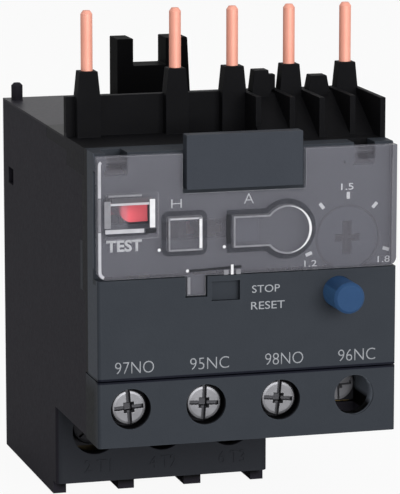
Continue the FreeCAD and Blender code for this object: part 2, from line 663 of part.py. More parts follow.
def aux_clamp(x, loose):
    return clamp(x, AUX_Z, A_HEAD_Y + A_HEAD_H - loose, A_CLAMP, A_SHANK_R + SHAFT_FIT)


# ---------------------------------------------------------------- auxiliary contacts

def aux_terminal(x, normally_open):
    """Clamp plate with a leg that rises through the block and bends to its contact tip."""
    y0, y1 = A_PLATE_Y
    x0, x1 = x - AUX_LEG, x + AUX_LEG
    z0, z1 = AUX_SHELF_Z
    parts = [box(x - AUX_PLATE_HALF, x + AUX_PLATE_HALF, y0, y1, FLOOR_TOP + 0.2,
                 BLOCK_Z[1] - 0.8),
             box(x0, x1, y0, y1, BLOCK_Z[1] - 1.4, z1)]
    if normally_open:
        parts.append(box(x0, x1, y0, NO_ARM_Y[1], z0, z1))
        parts.append(box(x0, x1, NO_ARM_Y[0], NO_ARM_Y[1], z0,
                         NO_Z + AUX_LEG_OVER))
        parts.append(rod_y(x, NO_Z, TIP_R, NO_TIP_Y, NO_ARM_Y[0] + 0.2))
    else:
        parts.append(box(x0, x1, NC_LEG_Y[0], y1, z0, z1))
        parts.append(box(x0, x1, NC_LEG_Y[0], NC_LEG_Y[1], z0,
                         NC_Z + AUX_LEG_OVER))
        parts.append(rod_y(x, NC_Z, TIP_R, NC_TIP_Y[0] - 0.2, NC_TIP_Y[1]))
    return cut(fuse(parts), [rod_y(x, AUX_Z, A_SHANK_R + SHAFT_FIT, y0 - 1, y1 + 1, True)])


def nc_bridge():
    """Bar across terminals 95 and 96; its tips lie in front of it."""
    x0, x1 = AUX_X[1], AUX_X[3]
    bar = box(x0 - 1.2, x1 + 1.2, NC_BAR_Y, NC_BAR_Y + BAR_T, NC_Z - BAR_H / 2, NC_Z + BAR_H / 2)
    tips = [rod_y(x, NC_Z, TIP_R, NC_TIP_Y[1] + TIP_GAP, NC_BAR_Y + 0.2) for x in (x0, x1)]
    return fuse([bar] + tips)


def no_bridge():
    """Bar across terminals 97 and 98; its tips lie behind it."""
    x0, x1 = AUX_X[0], AUX_X[2]
    y = NO_BAR_Y
    bar = box(x0 - 1.2, x1 + 1.2, y, y + BAR_T, NO_Z - BAR_H / 2, NO_Z + BAR_H / 2)
    tips = [rod_y(x, NO_Z, TIP_R, y + BAR_T - 0.2, y + BAR_T + 0.6) for x in (x0, x1)]
    return fuse([bar] + tips)


def contact_carrier():
    head = box(CARRIER_X[0], CARRIER_X[1], 9.0, 13.5, NO_Z - 1.4, TAIL_Z[1] + 0.6)
    tail = box(TAIL_X[0], TAIL_X[1], 13.3, LUG_Y[1], TAIL_Z[0], TAIL_Z[1])
    lug = box(SPRING_X - 1.2, LEVER_X - SIDE_ARM + 1.8, LUG_Y[0], LUG_Y[1],
              TAIL_Z[0], TAIL_Z[1])
    body = fuse([head, tail, lug])
    slots = [box(CARRIER_X[0] - 1, CARRIER_X[1] + 1, NC_BAR_Y, NC_BAR_Y + BAR_T,
                 NC_Z - BAR_H / 2, NC_Z + BAR_H / 2),
             box(CARRIER_X[0] - 1, CARRIER_X[1] + 1, NO_BAR_Y, NO_BAR_Y + BAR_T,
                 NO_Z - BAR_H / 2, NO_Z + BAR_H / 2)]
    return cut(body, slots)


def contact_spring():
    return coil(SPRING_X, (TAIL_Z[0] + TAIL_Z[1]) / 2, LUG_Y[1], RIB_Y0 - SLOT / 2, 0.9, 0.35, 4)


# ---------------------------------------------------------------- trip train

def trip_slide(z_range):
    y0, y1 = SLIDE_Y
    plate = box(SLIDE_X0, SLIDE_X1, y0, y1, z_range[0], z_range[1])
    play = BI_T / 2 + TIP_PLAY
    slots = []
    for x in POLE_X:
        slots.append(box(x - play, x + play, BI_Y[0] - FREE, BI_Y[1] + FREE,
                         z_range[0] - 1, z_range[1] + 1))
    return cut(plate, slots)


def slide_link():
    """Block that ties the two slides at their right end and carries the trip nose."""
    z0, z1 = SLIDE_LOW[1], SLIDE_UP[0]
    body = box(SLIDE_X1 - 1.8, SLIDE_X1 + 0.4, LINK_Y[0], LINK_Y[1], z0, z1)
    nose = box(SLIDE_X1, NOSE_X, NOSE_Y[0], NOSE_Y[1], SLIDE_LOW[0] + 0.2, SLIDE_UP[1] - 0.2)
    return fuse([body, nose])


def trip_lever():
    """Hub on the fixed shaft, with arms to the carrier, the indicator and the button."""
    hub = rod_z(LEVER_X, LEVER_Y, LEVER_HUB_R, LEVER_HUB_Z[0], LEVER_HUB_Z[1])
    top = LEVER_HUB_Z[1]
    z0, z1 = ARM_Z
    arm_y = (LEVER_Y - 0.6, LEVER_Y + 0.6)
    nose_x = LEVER_X - SIDE_ARM
    pad_x = (BUTTON_X - 1.8, BUTTON_X + 1.8)
    pad_top = BUTTON_Z + 1.6
    pin_y = LEVER_Y - FRONT_ARM
    holder = box(STRIP_X[0] - 1.2, LEVER_X, LEVER_Y, STRIP_ROOT_Y + 1.6, STRIP_LOW - 0.6, top)
    side = box(nose_x - 0.8, LEVER_X, arm_y[0], arm_y[1], z0, z1)
    nose = box(nose_x - 0.5, nose_x + 0.5, arm_y[1] - 0.2, arm_y[1] + 0.6, z0, z1)
    pad = box(pad_x[0], pad_x[1], PAD_Y, arm_y[0] + 0.2, z0, pad_top)
    web = box(pad_x[0], LEVER_X, arm_y[0], arm_y[1], z0, pad_top)
    front = box(LEVER_X - 0.6, LEVER_X + 0.6, pin_y - 0.9, LEVER_Y, top - ARM_H, top)
    pin = rod_z(LEVER_X, pin_y, ARM_PIN_R, BAR_Z[0] - 0.2, top - ARM_H + 0.2)
    body = fuse([hub, holder, side, nose, pad, web, front, pin])
    bore = cyl_z(LEVER_X, LEVER_Y, LEVER_SHAFT_R + SHAFT_FIT, z0 - 1, top + 1)
    return cut(body, [bore, strip_blade()])


def lever_shaft():
    return cyl_z(LEVER_X, LEVER_Y, LEVER_SHAFT_R, SHAFT_Z[0], SHAFT_Z[1])


def strip_blade():
    return box(STRIP_X[0], STRIP_X[1], STRIP_ROOT_Y, LEVER_Y + 14.0, STRIP_LOW, STRIP_HIGH)


def compensation_strip():
    """Bimetal blade held in the lever, with the pad that the trip nose strikes."""
    pad = box(NOSE_X + 0.15, STRIP_X[0], NOSE_Y[0] - 0.2, NOSE_Y[1] + 0.2, STRIP_LOW, STRIP_HIGH)
    return fuse([strip_blade(), pad])


def trip_flag():
    """Indicator behind the test window, rounded on the side that shows first."""
    x0, x1 = FLAG_X
    z0, z1 = FLAG_Z
    plate = box(x0, x1, FLAG_Y[0], FLAG_Y[1], z0, z1)
    rounded = []
    for edge in plate.Edges:
        a = edge.Vertexes[0].Point
        b = edge.Vertexes[-1].Point
        if abs(a.x - x0) < 1e-6 and abs(b.x - x0) < 1e-6 and abs(a.z - b.z) < 1e-6:
            rounded.append(edge)
    return plate.makeFillet(1.4, rounded)


def flag_bar():
    y0, y1 = BAR_Y
    z0, z1 = BAR_Z
    neck_z0 = FLAG_Z[0] + 0.2
    left = FLAG_X[0] + 1.3
    neck = box(left, left + 1.8, FLAG_Y[1], y0 + 0.2, neck_z0, z1)
    bar = box(left, LEVER_X - 1.4, y0, y1, z0, z1)
    y = LEVER_Y - FRONT_ARM
    eye = box(LEVER_X - 1.6, LEVER_X + 1.4, y - 1.3, y + 1.3, z0, z1)
    slot = box(LEVER_X - ARM_PIN_R - 0.06, LEVER_X + ARM_PIN_R + 0.06, y - 0.8, y + 0.8,
               z0 - 1, z1 + 1)
    return cut(fuse([neck, bar, eye]), [slot])


# ---------------------------------------------------------------- front controls

def clear_cover():
    x0, x1 = COVER_X
    plate = rounded_cover(box(x0, x1, 0, COVER_T, COVER_Z[0], COVER_Z[1]))
    pads = [box(a, b, -PAD_PROUD, 0.2, c, d) for a, b, c, d in (TEST_PAD, HAND_PAD, AUTO_PAD)]
    pads.append(cyl_y(AUTO_ROUND[0], AUTO_ROUND[1], AUTO_ROUND[2], -PAD_PROUD, 0.2))
    latch = box(LATCH_X[0], LATCH_X[1], 0, COVER_T, LATCH_Z, COVER_Z[0] + 0.2)
    ears = []
    for ex0, ex1 in EAR_X:
        ears.append(box(ex0, ex1, COVER_T - 0.2, HINGE_Y, HINGE_Z - EAR_R, COVER_Z[1] - FREE))
        ears.append(rod_x(HINGE_Y, HINGE_Z, EAR_R, ex0, ex1))
    body = fuse([plate, latch] + pads + ears)
    a, b, c, d = TEST_WINDOW
    tools = [box(CUT_X[0], CUT_X[1], -1, COVER_T + 1, CUT_Z, COVER_Z[1] + 1),
             cyl_x(HINGE_Y, HINGE_Z, SWING_R, CUT_X[0], CUT_X[1]),
             box(a, b, WINDOW_SKIN, COVER_T + 0.1, c, d)]
    for ex0, ex1 in EAR_X:
        tools.append(cyl_x(HINGE_Y, HINGE_Z, HINGE_R + SHAFT_FIT, ex0 - 1, ex1 + 1))
    return cut(body, tools)


def rounded_cover(plate):
    x0, x1 = COVER_X
    edges = []
    for edge in plate.Edges:
        a = edge.Vertexes[0].Point
        b = edge.Vertexes[-1].Point
        if abs(a.x - b.x) < 1e-6 and abs(a.z - b.z) < 1e-6 and abs(a.z - COVER_Z[0]) < 1e-6:
            edges.append(edge)
    return plate.makeFillet(1.2, edges)


def hinge_pins():
    pins = [cyl_x(HINGE_Y, HINGE_Z, HINGE_R, x0 - 1.1, x1 + 1.1) for x0, x1 in EAR_X]
    return Part.makeCompound(pins)


def marker_plate():
    plate = box(MARKER_X[0], MARKER_X[1], MARKER_Y[0], MARKER_Y[1], MARKER_Z[0], MARKER_Z[1])
    foot = box(MARKER_X[0] + 1.4, MARKER_X[1] - 1.4, MARKER_Y[1] - 0.2, PANEL_Y[0],
               MARKER_FOOT_Z[0], MARKER_FOOT_Z[1])
    return fuse([plate, foot])


def dial():
    disc = cyl_y(DIAL_X, DIAL_Z, DIAL_R, PANEL_Y[0], PANEL_Y[1])
    shaft = rod_y(DIAL_X, DIAL_Z, DIAL_SHAFT_R, PANEL_Y[1] - 0.2, CAM_Y[0])
    arm, half, depth = DIAL_CROSS
    y0, y1 = PANEL_Y[0] - 1, PANEL_Y[0] + depth
    cross = [box(DIAL_X - arm, DIAL_X + arm, y0, y1, DIAL_Z - half, DIAL_Z + half),
             box(DIAL_X - half, DIAL_X + half, y0, y1, DIAL_Z - arm, DIAL_Z + arm)]
    return cut(fuse([disc, shaft]), cross)


def dial_cam():
    """Spiral plate cam: its radius grows evenly with the angle of the dial."""
    points = []
    for i in range(CAM_STEPS + 1):
        a = CAM_SPAN * (2 * i / CAM_STEPS - 1)
        r = CAM_R + CAM_RISE * a
        points.append((DIAL_X + r * math.sin(a), DIAL_Z + r * math.cos(a)))
    return prism_xz(CAM_Y[0], CAM_Y[1], points)


def setting_slider():
    """Follower above the cam; its knife edge rides on the spiral."""
    z0 = DIAL_Z + CAM_R + 0.1
    left, right = DIAL_X - SETTING_HALF, DIAL_X + SETTING_HALF
    outline = [(DIAL_X - 0.1, z0), (DIAL_X + 0.1, z0), (right, z0 + 1.2), (right, SETTING_TOP),
               (left, SETTING_TOP), (left, z0 + 1.2)]
    return prism_xz(CAM_Y[0] + 0.1, CAM_Y[1], outline)


def reset_selector():
    x0, x1 = KNOB_X - KNOB_HALF, KNOB_X + KNOB_HALF
    y0 = COVER_T + FREE
    knob = box(x0, x1, y0, PANEL_Y[0] - SLOT, KNOB_Z - KNOB_PLATE, KNOB_Z + KNOB_PLATE)
    stem = box(x0, x1, y0, PANEL_Y[1] + 0.3, KNOB_Z - KNOB_SLOT_H / 2 + SLOT,
               KNOB_Z + KNOB_SLOT_H / 2 - SLOT)
    flange = box(x0 - 0.5, x1 + 0.5, PANEL_Y[1] + SLOT, PANEL_Y[1] + 1.1,
                 KNOB_Z - KNOB_PLATE - 0.2, KNOB_Z + KNOB_PLATE + 0.2)
    return fuse([knob, stem, flange])


def stop_button():
    edge = 0.4
    back = FLANGE_REAR - 0.2
    cap = cyl_y(BUTTON_X, BUTTON_Z, BUTTON_R, edge - BUTTON_PROUD, back)
    rim = Part.makeCone(BUTTON_R - edge, BUTTON_R, edge, V(BUTTON_X, -BUTTON_PROUD, BUTTON_Z),
                        V(0, 1, 0))
    flange = rod_y(BUTTON_X, BUTTON_Z, FLANGE_R, FRONT_WALL + SLOT, FLANGE_REAR)
    plunger = rod_y(BUTTON_X, BUTTON_Z, PLUNGER_R, back, PLUNGER_END)
    return fuse([rim, cap, flange, plunger])


def button_spring():
    return coil(BUTTON_X, BUTTON_Z, FLANGE_REAR, POST_Y[0] - SLOT, 1.75, 0.4, 5)


# ---------------------------------------------------------------- export

def nodes():
    out = {"base_housing": base_housing(), "front_housing": front_housing(),
           "aux_block": aux_block(), "pin_deck": pin_deck(),
           "mounting_hook": mounting_hook(), "locating_peg": locating_peg(),
           "marker_plate": marker_plate(), "clear_cover": clear_cover(),
           "hinge_pins": hinge_pins(), "dial": dial(), "dial_cam": dial_cam(),
           "setting_slider": setting_slider(), "reset_selector": reset_selector(),
           "stop_button": stop_button(), "button_spring": button_spring(),
           "trip_flag": trip_flag(), "flag_bar": flag_bar(),
           "trip_lever": trip_lever(), "lever_shaft": lever_shaft(),
           "compensation_strip": compensation_strip(),
           "slide_lower": trip_slide(SLIDE_LOW), "slide_upper": trip_slide(SLIDE_UP),
           "slide_link": slide_link(), "contact_carrier": contact_carrier(),
           "contact_spring": contact_spring(), "nc_bridge": nc_bridge(),
           "no_bridge": no_bridge(),
           "coil_pin": side_pin(PIN_X[0], COIL_STRIP),
           "aux_pin": side_pin(PIN_X[4], SIGNAL_STRIP)}
    for i, x in enumerate(POLE_X):
        tag = str(i + 1)
        out["busbar_" + tag] = busbar(i)
        out["pole_terminal_" + tag] = pole_terminal(x)
        out["bimetal_" + tag] = bimetal(x)
        out["heater_" + tag] = heater(x)
        out["power_screw_" + tag] = power_screw(x)
        out["power_clamp_" + tag] = power_clamp(x)
    for i, x in enumerate(AUX_X):
        tag = str(i + 1)
        out["aux_terminal_" + tag] = aux_terminal(x, i in (0, 2))
        out["aux_screw_" + tag] = aux_screw(x, A_LOOSE[i])
        out["aux_clamp_" + tag] = aux_clamp(x, A_LOOSE[i])
    return out


os.makedirs("parts", exist_ok=True)
for name, shape in nodes().items():
    shape.translate(V(-ORIGIN.x, -ORIGIN.y, -ORIGIN.z))
    shape.exportStep("parts/" + name + ".step")
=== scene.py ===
import json
import math

import bmesh
import bpy
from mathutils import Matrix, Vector


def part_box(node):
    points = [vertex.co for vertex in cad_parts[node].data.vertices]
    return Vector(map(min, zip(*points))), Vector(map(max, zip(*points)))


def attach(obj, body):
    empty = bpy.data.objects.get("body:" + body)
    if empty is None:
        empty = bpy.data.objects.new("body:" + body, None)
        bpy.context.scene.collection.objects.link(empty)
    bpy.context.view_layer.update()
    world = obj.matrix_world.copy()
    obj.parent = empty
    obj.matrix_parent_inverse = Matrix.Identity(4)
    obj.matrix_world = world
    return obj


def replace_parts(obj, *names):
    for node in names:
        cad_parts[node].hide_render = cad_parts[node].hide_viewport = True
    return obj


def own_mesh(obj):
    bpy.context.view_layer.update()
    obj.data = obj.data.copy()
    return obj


# Looks of a thermal overload relay, 45 mm wide. Lengths are metres in the row frame:
# X to the right as seen from the front, -Y out of the front face, Z up from the feet.

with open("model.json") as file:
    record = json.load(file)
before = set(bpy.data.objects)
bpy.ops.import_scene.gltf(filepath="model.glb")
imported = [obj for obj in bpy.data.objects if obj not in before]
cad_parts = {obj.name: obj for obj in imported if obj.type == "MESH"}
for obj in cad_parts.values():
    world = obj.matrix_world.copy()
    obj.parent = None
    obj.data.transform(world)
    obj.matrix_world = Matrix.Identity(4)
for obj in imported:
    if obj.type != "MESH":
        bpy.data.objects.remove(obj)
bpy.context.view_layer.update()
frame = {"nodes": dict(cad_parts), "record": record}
nodes = frame["nodes"]

MM = 0.001
FRONT_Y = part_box("front_housing")[0].y      # front face of the hood
LEFT_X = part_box("base_housing")[0].x         # left side of the base


def at(x, y, z):
    """Millimetres from the left side, the front face and the feet, as a row frame point."""
    return Vector((LEFT_X + x * MM, FRONT_Y + y * MM, z * MM))


# ---------------------------------------------------------------- shader expressions

class Field:
    """A shader socket that joins in Python arithmetic by way of Math nodes."""

    def __init__(self, finish, socket):
        self.finish = finish
        self.socket = socket

    def maths(self, operation, *values):
        return self.finish.node("Math", {"operation": operation}, dict(enumerate(values)))

    def __add__(self, other):
        return self.maths("ADD", self, other)

    def __radd__(self, other):
        return self.maths("ADD", other, self)

    def __sub__(self, other):
        return self.maths("SUBTRACT", self, other)

    def __rsub__(self, other):
        return self.maths("SUBTRACT", other, self)

    def __mul__(self, other):
        return self.maths("MULTIPLY", self, other)

    def __rmul__(self, other):
        return self.maths("MULTIPLY", other, self)

    def __truediv__(self, other):
        return self.maths("DIVIDE", self, other)

    def __rtruediv__(self, other):
        return self.maths("DIVIDE", other, self)

    def larger(self, other):
        return self.maths("MAXIMUM", self, other)

    def clamp(self):
        return self.finish.node("Clamp", {}, {0: self})

    def ramp_up(self, start, width):
        """0 below start, 1 from start + width on."""
        return ((self - start) / width).clamp()

    def ramp_down(self, end, width):
        """1 up to end - width, 0 above end."""
        return ((end - self) / width).clamp()

    def around(self, middle, span):
        """Spreads a field of 0 to 1 over that span, evenly about middle."""
        return self * span + (middle - span / 2)


class Finish:
    """Nodes around the shader of owner, which is a material or the world. constants are
    values of the shader's sockets, with _ for each space in a name."""

    def __init__(self, owner, shader="Principled BSDF", **constants):
        owner.use_nodes = True
        self.owner = owner
        self.tree = owner.node_tree
        self.shader = self.tree.nodes[shader]
        for key, value in constants.items():
            self.shader.inputs[key.replace("_", " ")].default_value = value

    def node(self, kind, settings, sockets, output=0):
        """Adds a node of that kind, sets it, then its sockets, and gives one output."""
        made = self.tree.nodes.new("ShaderNode" + kind)
        for key, value in settings.items():
            setattr(made, key, value)
        for key, value in sockets.items():
            if isinstance(value, Field):
                self.tree.links.new(value.socket, made.inputs[key])
            else:
                made.inputs[key].default_value = value
        return Field(self, made.outputs[output])

    def feed(self, key, value):
        self.tree.links.new(value.socket, self.shader.inputs[key])

    def place(self):
        return self.node("TexCoord", {}, {}, "Object")

    def along(self, axis):
        """Place along X, Y or Z, which are 0, 1 and 2."""
        return self.node("SeparateXYZ", {}, {0: self.place()}, axis)

    def ray(self, kind):
        """1 where the surface is met by that kind of ray."""
        return self.node("LightPath", {}, {}, "Is %s Ray" % kind)

    def noise(self, per_metre, detail=3.0, rough=0.5, stretch=None):
        """Noise of about that many blobs a metre, centred on 0.5."""
        point = self.place()
        if stretch:
            point = self.node("Mapping", {}, {"Vector": point, "Scale": stretch})
        return self.node("TexNoise", {}, {"Vector": point, "Scale": per_metre,
                                          "Detail": detail, "Roughness": rough})

    def blend(self, share, low, high):
        """Colour between low and high. Sockets 6 and 7 are the node's colours."""
        return self.node("Mix", {"data_type": "RGBA"}, {"Factor": share, 6: low, 7: high}, 2)

    def edges(self, radius=0.15, gain=9.0):
        """1 along edges, 0 on flat faces; the radius is in millimetres."""
        rounded = self.node("Bevel", {"samples": 4}, {"Radius": radius * MM})
        flat = self.node("NewGeometry", {}, {}, "Normal")
        same = self.node("VectorMath", {"operation": "DOT_PRODUCT"}, {0: rounded, 1: flat},
                         "Value")
        return ((1 - same) * gain).clamp()

    def inside(self, low, high, soft=0.1):
        """1 in the box between two corners, given as at() takes them, 0 outside it."""
        first, last, fade = at(*low), at(*high), soft * MM
        walls = []
        for axis in range(3):
            place = self.along(axis)
            walls += [place.ramp_up(first[axis], fade), place.ramp_down(last[axis], fade)]
        return math.prod(walls)

    def relief(self, height, depth):
        """Bump of that depth in metres, made from a height from 0 to 1."""
        normal = self.node("Bump", {}, {"Height": height, "Distance": depth, "Strength": 1.0})
        self.feed("Normal", normal)


def new_finish(name, **constants):
    return Finish(bpy.data.materials.new(name), **constants)


def srgb(*channels):
    """Linear colour, opaque, from 0-255 display values."""
    out = []
    for c in channels:
        c /= 255
        out.append(c / 12.92 if c <= 0.04045 else ((c + 0.055) / 1.055) ** 2.4)
    return (*out, 1.0)


def moulded(name, dark, light, edge_highlight_tone, rough=0.5, gloss=0.3, grain=1800, depth=0.00002,
            patches=(), satin=None):
    """Injection moulding: mottled colour, spark-eroded grain, and a painted highlight that pales
    its edges unevenly.
    Each of patches is a box, as two corners and a softness, and the colour of what is in it.
    satin is a box, as two corners, whose faces came off a polished tool."""
    finish = new_finish(name, Specular_IOR_Level=gloss)
    mottle = finish.noise(220, 4.0)
    colour = finish.blend(mottle, dark, light)
    # painted highlight: paler, uneven colour along the edges
    edge_highlight = finish.edges() * finish.noise(900, 2.0)
    colour = finish.blend(edge_highlight, colour, edge_highlight_tone)
    for low, high, soft, colour_there in patches:
        colour = finish.blend(finish.inside(low, high, soft), colour, colour_there)
    finish.feed("Base Color", colour)
    grained = finish.noise(grain, 2.0, 0.6)
    finish.feed("Roughness", grained.around(rough, 0.16))
    finish.relief(grained, depth)
    if satin:
        finish.shader.inputs["Coat Roughness"].default_value = SATIN_ROUGHNESS
        finish.feed("Coat Weight", finish.inside(*satin, 0.2) * SATIN)
    return finish.owner


def plated(name, dark, light, rough=0.32, per_metre=500, stretch=(1, 1, 1), metal=1.0,
           shade_from=None):
    """Metal with drawn or tumbled marks, dull patches and brighter edges. Past a given depth
    behind the front face, in millimetres, it is darkened with painted shade, as in a recess."""
    finish = new_finish(name, Metallic=metal)
    marks = finish.noise(per_metre, 5.0, 0.65, stretch)
    cloud = finish.noise(260, 2.0)
    share = (marks * 0.6 + cloud * 0.6 - 0.1 + finish.edges(0.08, 4.0) * 0.4).clamp()
    colour = finish.blend(share, dark, light)
    if shade_from is not None:
        in_shade = finish.along(1).ramp_up(at(0, shade_from, 0).y, 0.3 * MM)
        colour = finish.blend(in_shade, colour, RECESS_SHADE)
    finish.feed("Base Color", colour)
    finish.feed("Roughness", marks.around(rough, 0.22))
    finish.relief(marks, 0.000006)
    return finish.owner


def clear_moulding():
    """Smoke-tinted clear plastic: a grey veil, clearer over the red flag and in the hinge
    ears, denser at the right edge, with a painted highlight along its front edges."""
    finish = new_finish("clear_moulding", Specular_IOR_Level=0.3)
    mottle = finish.noise(160, 2.0)
    # painted highlight along the cover's front edges
    rim = finish.edges(0.12, 6.0) * finish.inside(*VEIL_RIM)
    end = finish.inside(*VEIL_END)
    colour = finish.blend(rim, finish.blend(mottle, VEIL_DARK, VEIL_LIGHT), RIM_HIGHLIGHT)
    finish.feed("Base Color", finish.blend(end, colour, END_TONE))
    clear = (1 - finish.inside(*FLAG_VIEW) * 0.75) * (1 - finish.inside(*EAR_VIEW) * 0.8)
    finish.feed("Alpha", clear * (VEIL_ALPHA + rim * 0.2) + end * 0.75)
    finish.feed("Roughness", mottle.around(0.24, 0.08))
    return finish.owner


def printed(name, thin, full):
    """Pad-printed ink, slightly uneven."""
    finish = new_finish(name, Roughness=0.55, Specular_IOR_Level=0.2)
    cover = finish.noise(3000, 3.0)
    finish.feed("Base Color", finish.blend(cover, thin, full))
    finish.relief(cover, 0.000004)
    return finish.owner


def lit_edge(name, dim, bright, alpha):
    """Colour of a bead on the clear plastic: painted highlight where it is bright, painted
    shade where it is dark."""
    finish = new_finish(name, Specular_IOR_Level=0.2)
    along = finish.noise(700, 2.0)
    finish.feed("Base Color", finish.blend(along, dim, bright))
    finish.feed("Alpha", along.around(alpha, 0.2))
    finish.feed("Roughness", along.around(0.4, 0.2))
    return finish.owner


# Boxes below are two corners, as at() takes them, and mostly a softness in millimetres.
# A patch puts its own colour on a moulding inside that box; the notes beside them say where
# that colour is painted shade or painted light.

SEAM_Z = (23.1, 23.95)         # joint between the hood and the auxiliary block
VEIL_DARK = srgb(155, 154, 165)
VEIL_LIGHT = srgb(167, 166, 177)
VEIL_ALPHA = 0.17
VEIL_RIM = ((-1, -2.0, 30), (46, 0.5, 60), 0.2)                  # front edges of the cover
VEIL_END = ((44.25, -0.3, 38.0), (45.2, 2.6, 56.5), 0.15)        # its right edge
FLAG_VIEW = ((4.2, -1.0, 45.6), (8.1, 1.3, 49.9), 0.3)           # in front of the flag
EAR_VIEW = ((0.0, 1.25, 52.0), (45.0, 5.0, 57.0), 0.05)          # hinge ears
# colour of the painted highlight on the cover's front edges
RIM_HIGHLIGHT = srgb(225, 225, 230)
END_TONE = srgb(100, 100, 107)
# painted shade deep in the screws' recesses
RECESS_SHADE = srgb(72, 72, 75)
SATIN = 0.28                   # coat weight on the roof
SATIN_ROUGHNESS = 0.35
ROOF = ((-0.1, 19.8, 56.0), (45.1, 61.1, 56.8))
SLATE_PATCHES = [
    ((-1, -1, SEAM_Z[0]), (46, 1.5, SEAM_Z[1]), 0.1, srgb(20, 22, 32)),      # open seam
    # painted shade in the screw wells
    ((0.6, 0.2, 14.1), (35.0, 16.0, 23.0), 0.4, srgb(10, 10, 12)),           # screw wells
    # painted light on the open well's walls
    ((35.0, 0.2, 14.1), (44.4, 16.0, 23.0), 0.4, srgb(136, 143, 154)),       # open well
    # painted shadow in the open well's low part
    ((35.0, 0.2, 14.1), (44.4, 16.0, 18.4), 0.8, srgb(3, 3, 4)),             # its low part
    # painted shade on the block's left side
    ((-3, 0.5, 11.0), (3.0, 18.0, 23.3), 2.0, srgb(30, 32, 34)),             # block's side
    # painted light on the hood's left side
    ((-1, 0.3, 23.8), (0.15, 9.0, 57.0), 0.1, srgb(75, 80, 88)),             # hood's side
    ((-1, 5.8, 23.4), (0.15, 9.0, 57.0), 0.1, srgb(22, 22, 26)),             # its rear line
    ((-1, 1.0, 37.4), (46, 2.9, 39.8), 0.2, srgb(52, 56, 62)),               # panel's foot
]
BLACK_PATCHES = [
    # painted shade inside the wire chambers
    ((0.4, 26.4, 0.5), (33.0, 60.0, 14.2), 0.8, srgb(13, 13, 13)),           # wire chambers
    # painted light on the tier's face
    ((-0.5, 25.6, -0.5), (33.6, 26.25, 14.3), 0.1, srgb(49, 51, 56)),        # tier's face
]
BUTTON_PATCHES = [((31.0, -5.2, 31.0), (41.0, 3.0, 36.2), 0.2, srgb(58, 92, 132))]
# the deck's outer left face keeps the lit side's tone, out of the deck's painted shade
DECK_PATCHES = [((-1, 5.0, 52.0), (0.1, 31.5, 57.0), 0.05, srgb(40, 40, 43))]
# painted shade in the dial's driver cross
DIAL_PATCHES = [((35.2, 2.5, 39.0), (41.4, 4.6, 45.6), 0.15, srgb(10, 10, 12))]


